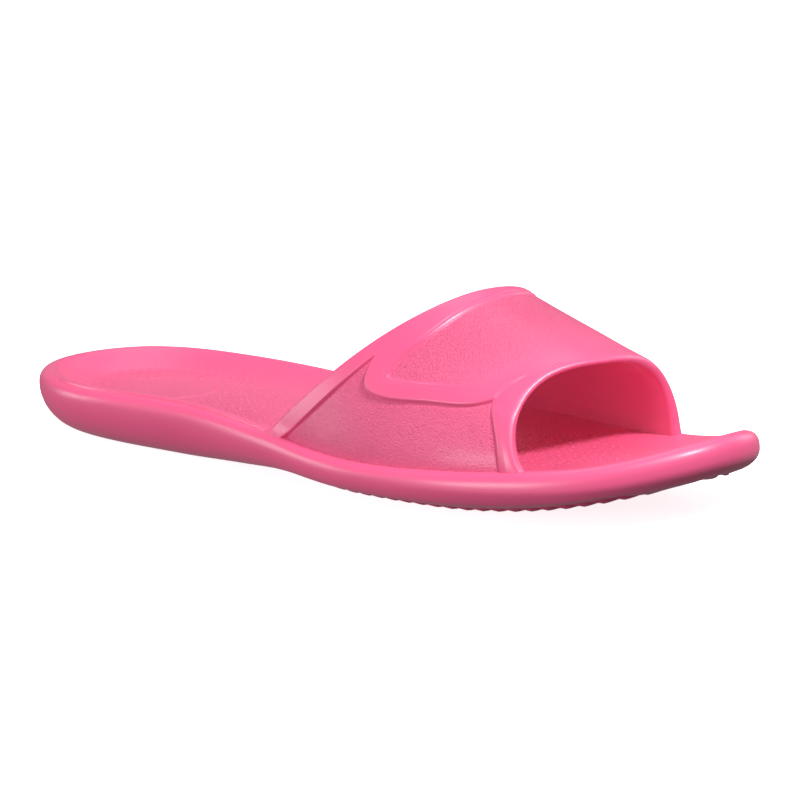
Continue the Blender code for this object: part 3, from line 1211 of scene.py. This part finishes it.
@dataclass
class Strap:
    """The moulded strap: rear band, front bead, sunk side panel and raised overlay with its own panel."""

    last: Last
    wall: float = 3.8
    edge_round: float = 2.4
    rear_fullness: float = 3.6
    front_fullness: float = 2.3
    lip_thin: float = 1.5
    lip_reach: float = 14.0
    lip_span: Plateau = (12.0, 40.0, 92.0, 125.0)
    edge_lines: int = 12
    stretch_lines: tuple[int, ...] = (9, 18, 14, 18, 74, 18, 9)
    inner_lines: int = 30
    step_reach: Span = (1.3, 1.5)
    recess_step_reach: Span = (1.3, 0.9)
    least_frame: float = 0.4
    column_counts: tuple[int, ...] = (54, 24, 8, 14, 108, 92)
    hem_reach: float = 1.6
    recess_reach: float = 1.0
    girth_station: float = 50.0
    girth_samples: int = 600
    height_steps: int = 6
    height_start: float = math.pi / 6.0
    highest_rise: float = 0.95
    least_apart: float = 0.5
    least_panel: float = 0.1
    panel_slant: float = 1.25
    recess_slant: float = 0.72
    panel_sunk: float = 0.95
    panel_step: Step = Step(0.6, 0.4, 2.0)
    panel_shallow: float = 0.6
    panel_deepens: float = 13.0
    crease: float = 0.2
    crease_width: float = 0.45
    recess_sunk: float = 0.85
    recess_crown_sunk: float = 0.45
    recess_crown: Span = (55.0, 85.0)
    recess_round: float = 2.0
    recess_groove: float = 0.2
    recess_groove_at: float = 0.5
    recess_groove_width: float = 0.28
    recess_step: Step = Step(0.32, 0.55, 1.4)
    recess_fade: Span = (5.0, 27.0)
    recess_height: float = 36.2
    recess_medial_height: float = 30.0
    bead_lift: float = 0.32
    bead_rise: float = 2.2
    bead_end: Span = (30.0, 38.0)
    front_sunk: float = 0.45
    front_step: Step = Step(0.2, 0.3, 1.0)
    front_rise: float = 5.0
    front_span: Plateau = (32.0, 36.0, 44.0, 60.0)
    foot_steps: int = 10
    foot_drop: float = 4.5
    flare_above: float = 4.0
    flare_below: float = 1.2
    rear_flare: float = 1.7
    rear_flare_end: Span = (-1.0, 0.6)
    front_reach: float = 0.7
    grain_edge: float = 1.2
    grain_front: float = 9.0
    grain_fade: Span = (8.0, 40.0)
    grain_left: float = 0.25
    band_grain: float = 0.06

    def __post_init__(self) -> None:
        """Draw the curves through the tables and measure the girth."""
        self.rear_edge = column_spline(EDGES, "rear")
        self.front_edge = column_spline(EDGES, "front")
        self.rear_band = column_spline(BANDS, "rear")
        self.front_band = column_spline(BANDS, "front")
        self.hem = column_spline(HEM)
        self.recess = column_spline(RECESS)
        self.girth_angles = np.linspace(0.0, math.pi, self.girth_samples)
        points = self.last.strap_face(np.full(self.girth_samples, self.girth_station), self.girth_angles)
        self.girth = lengths_along(points)

    def edge(self, zone: Zone, fullness: float) -> list[Line]:
        """Return the lines round one edge, from the middle of the wall to its face.

        Args:
            zone: The edge's zone.
            fullness: How square the edge is: 2 is round.

        Returns:
            The lines of the outer half.
        """
        power = 2.0 / fullness
        lines = []
        for turn in np.linspace(0.0, QUARTER_TURN, self.edge_lines + 1):
            place = self.edge_round * (1.0 - max(math.cos(turn), 0.0) ** power)
            lines.append(Line(zone, place, math.sin(turn) ** power, False))
        return lines

    def lines(self) -> list[Line]:
        """Return the lines of a loop round the wall: over the outer face and back inside.

        Returns:
            The lines in order, without the first one again at the end.
        """
        rear = self.edge(Zone.REAR_EDGE, self.rear_fullness)
        front = self.edge(Zone.FRONT_EDGE, self.front_fullness)
        stretches = zip(STRETCHES, self.stretch_lines)
        outer = [Line(zone, (k + 1) / count, 1.0, False) for zone, count in stretches for k in range(count)]
        inner = [Line(Zone.SPAN, share, 1.0, True) for share in np.linspace(1.0, 0.0, self.inner_lines)[1:-1]]
        front_inside = [line._replace(inside=True) for line in front[1:]]
        rear_inside = [line._replace(inside=True) for line in reversed(rear[1:])]
        return rear + outer[:-1] + front[::-1] + front_inside + inner + rear_inside

    def station(self, line: Line, degrees: np.ndarray) -> np.ndarray:
        """Return the places along the sole of one line.

        Args:
            line: The line.
            degrees: Angles round the foot.

        Returns:
            Places in millimetres.
        """
        rear = self.rear_edge(degrees)
        front = self.front_edge(degrees)
        if line.zone is Zone.REAR_EDGE:
            return rear + line.place
        if line.zone is Zone.FRONT_EDGE:
            return front - line.place
        before, past = self.step_reach
        before_recess, past_recess = self.recess_step_reach
        frame = rear + self.rear_band(degrees) + past
        recess = np.maximum(rear + self.recess(degrees) - before_recess, frame + self.least_frame)
        stops = (
            rear + self.edge_round,
            rear + self.rear_band(degrees) - before,
            frame,
            recess,
            recess + before_recess + past_recess,
            front - self.front_band(degrees) - past,
            front - self.front_band(degrees) + before,
            front - self.edge_round,
        )
        if line.zone is Zone.SPAN:
            return stops[0] + line.place * (stops[-1] - stops[0])
        first = STRETCHES.index(line.zone)
        return stops[first] + line.place * (stops[first + 1] - stops[first])

    def past_bands(self, station: np.ndarray, degrees: np.ndarray) -> tuple[np.ndarray, np.ndarray]:
        """Return how far places lie inside the rear band and inside the front bead.

        Args:
            station: Places along the sole.
            degrees: Angles round the foot.

        Returns:
            Distances along the sole, past the rear band and past the front bead.
        """
        past_rear = station - self.rear_edge(degrees) - self.rear_band(degrees)
        return past_rear, self.front_edge(degrees) - self.front_band(degrees) - station

    def hem_height(self, station: np.ndarray, degrees: np.ndarray) -> np.ndarray:
        """Return the height of the overlay's hem at some places of the panel."""
        past_rear, past_front = self.past_bands(station, degrees)
        return self.hem(past_rear / np.maximum(past_rear + past_front, self.least_panel))

    def girth_at_height(self, line: Line, hem: bool) -> float:
        """Return how far up the girth a line meets the overlay's hem or its sunk panel's lower edge.

        Args:
            line: The line.
            hem: Whether the hem is meant.

        Returns:
            A distance round the girth in millimetres.
        """
        angle = np.array(self.height_start)
        for _ in range(self.height_steps):
            degrees = np.degrees(angle)
            station = self.station(line, degrees)
            height = self.hem_height(station, degrees) if hem else self.recess_height
            foot = self.last.strap_foot(station, angle)
            rise = (height - foot) / (self.last.crown_height(station) - foot)
            angle = np.arcsin(np.clip(rise, 0.0, self.highest_rise) ** (self.last.lateral_fullness / 2.0))
        return float(np.interp(angle, self.girth_angles, self.girth))

    def column_angles(self, line: Line) -> np.ndarray:
        """Return the angles of one line's columns, gathered at the hem and at the sunk panel's lower edge.

        Args:
            line: The line.

        Returns:
            Angles in radians from the lateral to the medial foot.
        """
        hem = self.girth_at_height(line, True)
        apart = self.hem_reach + self.recess_reach
        recess = max(self.girth_at_height(line, False), hem + apart + self.least_apart)
        crown = max(float(np.interp(QUARTER_TURN, self.girth_angles, self.girth)), recess + apart)
        stops = [0.0, hem - self.hem_reach, hem + self.hem_reach, recess - self.recess_reach]
        stops += [recess + self.recess_reach, crown, self.girth[-1]]
        spans = zip(stops[:-1], stops[1:], self.column_counts)
        places = [np.linspace(low, high, count, endpoint=False) for low, high, count in spans]
        return np.interp(np.concatenate([*places, self.girth[-1:]]), self.girth, self.girth_angles)

    def relief(
        self, station: np.ndarray, degrees: np.ndarray, height: np.ndarray
    ) -> tuple[np.ndarray, np.ndarray]:
        """Return how deep the moulded steps of the outer face lie, and where it is grained.

        Args:
            station: Places along the sole of one line.
            degrees: Angles round the foot.
            height: Heights of the smooth form over the floor.

        Returns:
            Depths under the smooth form in millimetres, and shares of the grain.
        """
        past_rear, past_front = self.past_bands(station, degrees)
        on_lateral = degrees < QUARTER_DEGREES
        under_hem = np.where(on_lateral, self.hem_height(station, degrees) - height, -np.inf)
        panel = np.minimum(np.minimum(self.panel_slant * past_rear, past_front), under_hem)
        above = height - self.last.rim(station, np.zeros_like(station))
        deepened = self.panel_shallow + (1.0 - self.panel_shallow) * ease(above / self.panel_deepens)
        depth = self.panel_sunk * deepened * self.panel_step.share(panel)
        creased = np.exp(-((panel - self.panel_step.wall) / self.crease_width) ** 2)
        depth += self.crease * creased * (panel > 0.0)

        lower = np.where(on_lateral, self.recess_height, self.recess_medial_height)
        past_frame = station - self.rear_edge(degrees) - self.recess(degrees)
        recess = round_corner(self.recess_slant * past_frame, height - lower, self.recess_round)
        fading = 1.0 - ramp(past_frame, self.recess_fade)
        at_crown = ramp(degrees, self.recess_crown)
        sunk = self.recess_sunk + (self.recess_crown_sunk - self.recess_sunk) * at_crown
        depth += sunk * fading * self.recess_step.share(recess)
        grooved = np.exp(-((recess + self.recess_groove_at) / self.recess_groove_width) ** 2)
        depth += self.recess_groove * fading * grooved

        low = 1.0 - ramp(degrees, self.bead_end)
        depth -= self.bead_lift * low * ease(-past_front / self.bead_rise)
        over = plateau(degrees, self.front_span) * (1.0 - ease(-past_front / self.front_rise))
        depth += self.front_sunk * over * self.front_step.share(-past_front)

        left = 1.0 - (1.0 - self.grain_left) * ramp(past_frame, self.grain_fade)
        on_recess = ease(recess / self.grain_edge) * ease(past_front / self.grain_front) * left
        grained = np.maximum(ease(panel / self.grain_edge), on_recess)
        return depth, np.maximum(grained, self.band_grain)

    def flared(self, points: np.ndarray, line: Line, station: np.ndarray, degrees: np.ndarray) -> np.ndarray:
        """Push the foot of the rear band out to the sole's side, and the front edge a little ahead.

        Args:
            points: Points of one line.
            line: The line.
            station: Its places along the sole.
            degrees: Its angles round the foot.

        Returns:
            The pushed points in millimetres.
        """
        medial = degrees > QUARTER_DEGREES
        above_rim = points[:, 2] - self.last.rim(station, medial.astype(float))
        reach = self.flare_above + self.flare_below
        grown = np.clip((self.flare_above - above_rim) / reach, 0.0, 1.0) ** 2
        past_rear, _ = self.past_bands(station, degrees)
        on_band = 1.0 - ramp(past_rear, self.rear_flare_end)
        aside = 0.0 if line.inside else line.full * self.rear_flare
        on_edge = 1.0 - ease((self.front_edge(degrees) - station) / self.edge_round)
        pushed = points.copy()
        pushed[:, 0] += self.front_reach * grown * on_edge
        pushed[:, 1] += np.where(medial, 1.0, -1.0) * aside * grown * on_band
        return pushed

    def inner_depth(self, station: np.ndarray, degrees: np.ndarray) -> np.ndarray:
        """Return how deep the inside of the wall lies, which thins to a lip at the front edge.

        Args:
            station: Places along the sole of one line.
            degrees: Angles round the foot.

        Returns:
            Depths under the smooth form in millimetres.
        """
        there = plateau(degrees, self.lip_span)
        near = 1.0 - ease((self.front_edge(degrees) - station) / self.lip_reach)
        return self.wall - self.lip_thin * there * near

    def row(self, line: Line) -> tuple[np.ndarray, np.ndarray]:
        """Return the points of one line, from under the lateral rim to under the medial rim.

        Args:
            line: The line.

        Returns:
            Points in millimetres and shares of the grain.
        """
        angles = self.column_angles(line)
        degrees = np.degrees(angles)
        station = self.station(line, degrees)
        face = self.last.strap_face(station, angles)
        out = self.last.strap_outward(station, angles)
        inner = self.inner_depth(station, degrees)
        if line.inside:
            depth = inner / 2.0 * (1.0 + line.full)
            grain = np.full_like(station, self.band_grain)
        else:
            depth, grain = self.relief(station, degrees, face[:, 2])
            depth = inner / 2.0 * (1.0 - line.full) + line.full * depth
        points = face - depth[:, None] * out
        middles = face - self.wall / 2.0 * out

        down = np.linspace(0.0, self.foot_drop, self.foot_steps + 1)[1:, None] * np.array([0.0, 0.0, -1.0])
        points = np.concatenate([(points[0] + down)[::-1], points, points[-1] + down])
        margins = (self.foot_steps, self.foot_steps)
        points = self.flared(points, line, np.pad(station, margins, "edge"), np.pad(degrees, margins, "edge"))
        caps = middles[[0, -1]] + down[-1]
        points = np.concatenate([caps[:1], points, caps[1:]])
        return points, np.pad(grain, self.foot_steps + 1, "edge")

    def build(self) -> Object:
        """Weave the strap's skin as a closed loop round its wall.

        Returns:
            The strap's object.
        """
        woven = [self.row(line) for line in self.lines()]
        woven.append(woven[0])
        rows = np.stack([points for points, _ in woven])
        grain = np.stack([marks for _, marks in woven])
        piece = weave("strap_skin", rows, grain)
        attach(piece, BODY)
        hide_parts("upper")
        return piece


class Lamp(NamedTuple):
    """One square soft light: its place and width in metres, and its power in watts."""

    name: str
    place: tuple[float, float, float]
    width: float
    power: float


@dataclass
class Studio:
    """Pale floor, soft lights and the camera."""

    azimuth: float = 40.33
    elevation: float = 12.12
    roll: float = -0.21
    distance: float = 2265.67
    target: tuple[float, float, float] = (4.33, 5.67, 19.75)
    pixels_per_mm: float = 3.39
    picture_width: float = 800.0
    sensor: float = 36.0
    clip_end: float = 20.0
    floor_size: float = 6.0
    floor_drop: float = 0.0003
    sky: Colour = (1.0, 1.0, 1.0, 1.0)
    sky_strength: float = 0.18
    lamps: tuple[Lamp, ...] = (
        Lamp("toe_key", (1.032, 0.012, 1.245), 0.2, 24.0),
        Lamp("high_softbox", (0.619, -0.276, 1.470), 0.8, 6.0),
        Lamp("low_softbox", (-0.124, -1.568, 0.270), 0.5, 11.5),
        Lamp("left_strip", (-1.373, -0.797, 0.150), 0.6, 8.0),
        Lamp("back_softbox", (-0.513, 0.615, 1.420), 0.8, 3.0),
        Lamp("toe_softbox", (0.272, 1.544, 0.720), 0.8, 5.0),
    )

    def build_floor(self) -> None:
        """Lay the pale floor just under the tread. It throws no light back on the slide."""
        form = bmesh.new()
        place = Matrix.Translation((0.0, 0.0, -self.floor_drop))
        bmesh.ops.create_grid(form, x_segments=1, y_segments=1, size=self.floor_size, matrix=place)
        mesh = bpy.data.meshes.new("studio_floor")
        form.to_mesh(mesh)
        form.free()
        floor = bpy.data.objects.new("studio_floor", mesh)
        bpy.context.scene.collection.objects.link(floor)
        mesh.materials.append(FloorFinish().material())
        floor.visible_diffuse = False
        floor.visible_glossy = False

    def build_lights(self) -> None:
        """Hang the soft lights and the white surroundings."""
        scene = bpy.context.scene
        world = bpy.data.worlds.new("studio")
        world.use_nodes = True
        background = world.node_tree.nodes["Background"]
        background.inputs["Color"].default_value = self.sky
        background.inputs["Strength"].default_value = self.sky_strength
        scene.world = world
        scene.view_settings.view_transform = "Standard"
        for lamp in self.lamps:
            data = bpy.data.lights.new(lamp.name, "AREA")
            data.size = lamp.width
            data.energy = lamp.power
            hung = bpy.data.objects.new(lamp.name, data)
            hung.location = lamp.place
            aim = Vector(self.target) * MM - Vector(lamp.place)
            hung.rotation_euler = aim.to_track_quat("-Z", "Y").to_euler()
            scene.collection.objects.link(hung)

    def build_camera(self) -> None:
        """Stand the camera at the photograph's angle."""
        turn = math.radians(self.azimuth)
        tilt = math.radians(self.elevation)
        back = Vector((math.sin(turn) * math.cos(tilt), -math.cos(turn) * math.cos(tilt), math.sin(tilt)))
        level = Vector((math.cos(turn), math.sin(turn), 0.0))
        pose = Matrix((level, back.cross(level), back)).transposed().to_4x4()
        pose = pose @ Matrix.Rotation(math.radians(self.roll), 4, "Z")
        pose.translation = (Vector(self.target) + back * self.distance) * MM
        data = bpy.data.cameras.new("camera")
        data.sensor_width = self.sensor
        data.lens = self.sensor * self.pixels_per_mm * self.distance / self.picture_width
        data.clip_end = self.clip_end
        camera = bpy.data.objects.new("camera", data)
        camera.matrix_world = pose
        bpy.context.scene.collection.objects.link(camera)
        bpy.context.scene.camera = camera


def main() -> None:
    """Build the slide piece by piece, dress it and set it in the studio."""
    logging.basicConfig(level=logging.INFO, format="%(message)s")
    last = Last()
    sole = Sole(last)
    skin = sole.build()
    tread = Tread(sole).build()
    footbed = Footbed(sole, skin)
    pieces = [skin, tread, footbed.build_nubs(), footbed.build_oval(), Strap(last).build()]
    foam = FoamFinish().material()
    for piece in pieces:
        piece.data.materials.append(foam)
        log.info("%s: %d faces", piece.name, len(piece.data.polygons))
    studio = Studio()
    studio.build_floor()
    studio.build_lights()
    studio.build_camera()


if __name__ == "__main__":
    main()
